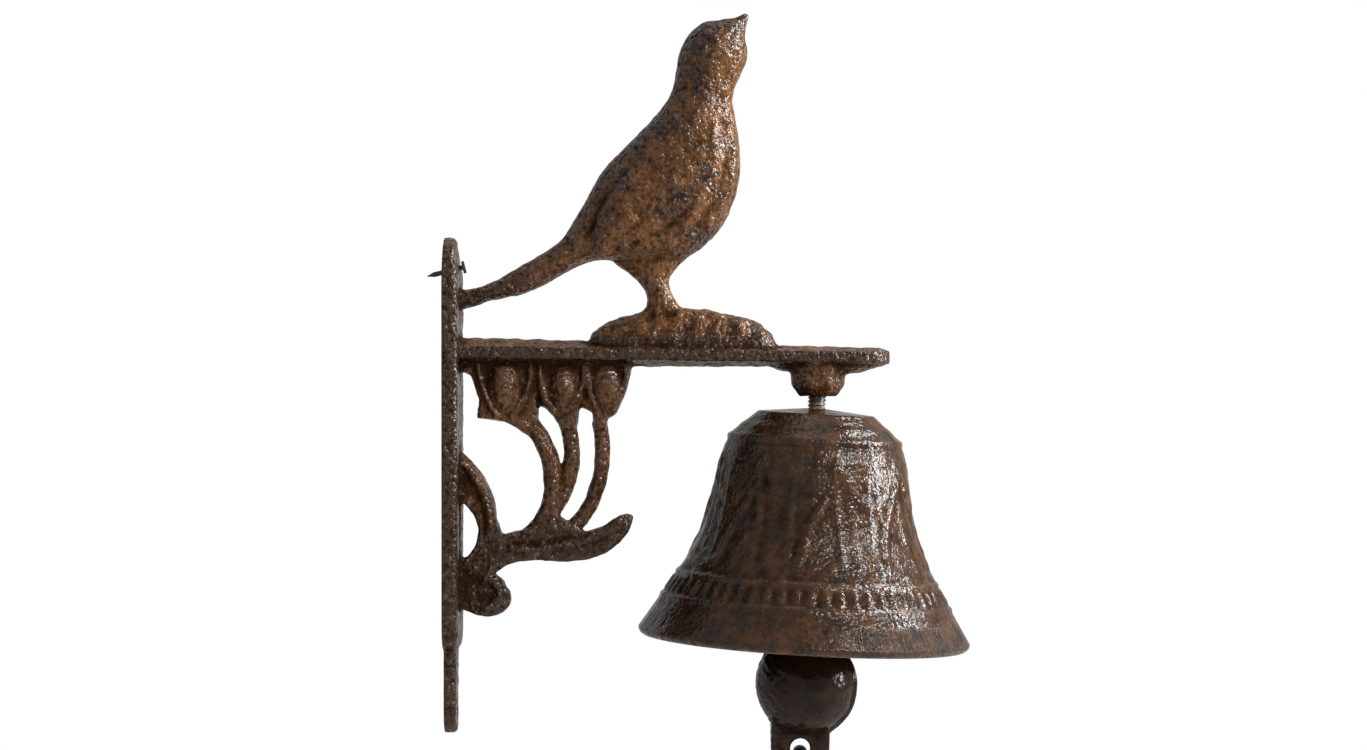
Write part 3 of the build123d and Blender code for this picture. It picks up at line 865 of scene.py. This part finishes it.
studio = {
    "floorHeight": -0.2,
    "floorSize": 1.0,
    "floor": "#f4f4f2",
    "floorGlow": 0.6,  # share of plain white that the camera and reflections get, so that no edge of it shows
    "worldLight": 0.12,
    # name: (place, size x, size y, watts), all aimed at the middle of the object
    "lamps": {
        "windowRight": ((0.86, -0.58, 0.50), 0.13, 0.34, 13.0),
        "sideRight": ((1.09, -0.05, 0.20), 0.18, 0.48, 19.0),
        "highRight": ((0.74, 0.22, 0.60), 0.16, 0.50, 15.0),
        "frontRight": ((0.54, -0.98, 0.50), 0.10, 0.18, 4.6),
        "topLamp": ((0.10, 0.20, 1.05), 0.4, 0.4, 0.8),
    },
    "aim": (0.09, 0, -0.01),
}


def seenOrReflected(tree):
    # 1 for the camera and for what metal and glass reflect, 0 for the light that falls on the object
    ray = addNode(tree, "ShaderNodeLightPath").outputs
    seen = ray["Is Camera Ray"]
    for kind in ("Is Glossy Ray", "Is Transmission Ray"):
        seen = addNode(tree, "ShaderNodeMath", links={0: seen, 1: ray[kind]}, operation="MAXIMUM").outputs[0]
    return seen


def makeFloor(look):
    deselectAll()
    bpy.ops.mesh.primitive_plane_add(size=look["floorSize"], location=(look["aim"][0], 0, look["floorHeight"]))
    floor = bpy.context.object
    floor.name = "floor"
    material, tree = newMaterial("paleStudioFloor")
    share = addNode(tree, "ShaderNodeMath", {1: look["floorGlow"]}, {0: seenOrReflected(tree)},
                    operation="MULTIPLY").outputs[0]
    plain = addNode(tree, "ShaderNodeBsdfDiffuse", {"Color": colour(look["floor"])}).outputs[0]
    glow = addNode(tree, "ShaderNodeEmission", {"Color": white, "Strength": 1.0}).outputs[0]
    both = addNode(tree, "ShaderNodeMixShader", links={0: share, 1: plain, 2: glow}).outputs[0]
    addNode(tree, "ShaderNodeOutputMaterial", links={"Surface": both})
    floor.data.materials.append(material)


def makeWorld(look):
    world = bpy.data.worlds.new("whiteStudio")
    bpy.context.scene.world = world
    world.use_nodes = True
    tree = world.node_tree
    tree.nodes.clear()
    light = addNode(tree, "ShaderNodeBackground", {"Color": white, "Strength": look["worldLight"]}).outputs[0]
    shown = addNode(tree, "ShaderNodeBackground", {"Color": white, "Strength": 1.0}).outputs[0]
    both = addNode(tree, "ShaderNodeMixShader", links={0: seenOrReflected(tree), 1: light, 2: shown}).outputs[0]
    addNode(tree, "ShaderNodeOutputWorld", links={"Surface": both})


def makeLamps(look):
    for name, (place, sizeX, sizeY, watts) in look["lamps"].items():
        data = bpy.data.lights.new(name, "AREA")
        data.shape = "RECTANGLE"
        data.size, data.size_y, data.energy = sizeX, sizeY, watts
        lamp = bpy.data.objects.new(name, data)
        bpy.context.collection.objects.link(lamp)
        lamp.location = place
        lamp.rotation_euler = (Vector(look["aim"]) - Vector(place)).to_track_quat("-Z", "Y").to_euler()


camera = {
    "place": (0.080, -1.15, 0.0),
    "pitch": -0.52,  # degrees
    "lens": 90.4,  # mm, on a sensor of the width below
    "sensor": 36,
}


def makeCamera(look):
    data = bpy.data.cameras.new("camera")
    data.lens = look["lens"]
    data.sensor_width = look["sensor"]
    view = bpy.data.objects.new("camera", data)
    bpy.context.collection.objects.link(view)
    view.location = look["place"]
    view.rotation_euler = (math.radians(90 + look["pitch"]), 0, 0)
    bpy.context.scene.camera = view


makeFloor(studio)
makeWorld(studio)
makeLamps(studio)
makeCamera(camera)
bpy.context.scene.view_settings.view_transform = "Standard"
print("studio made")
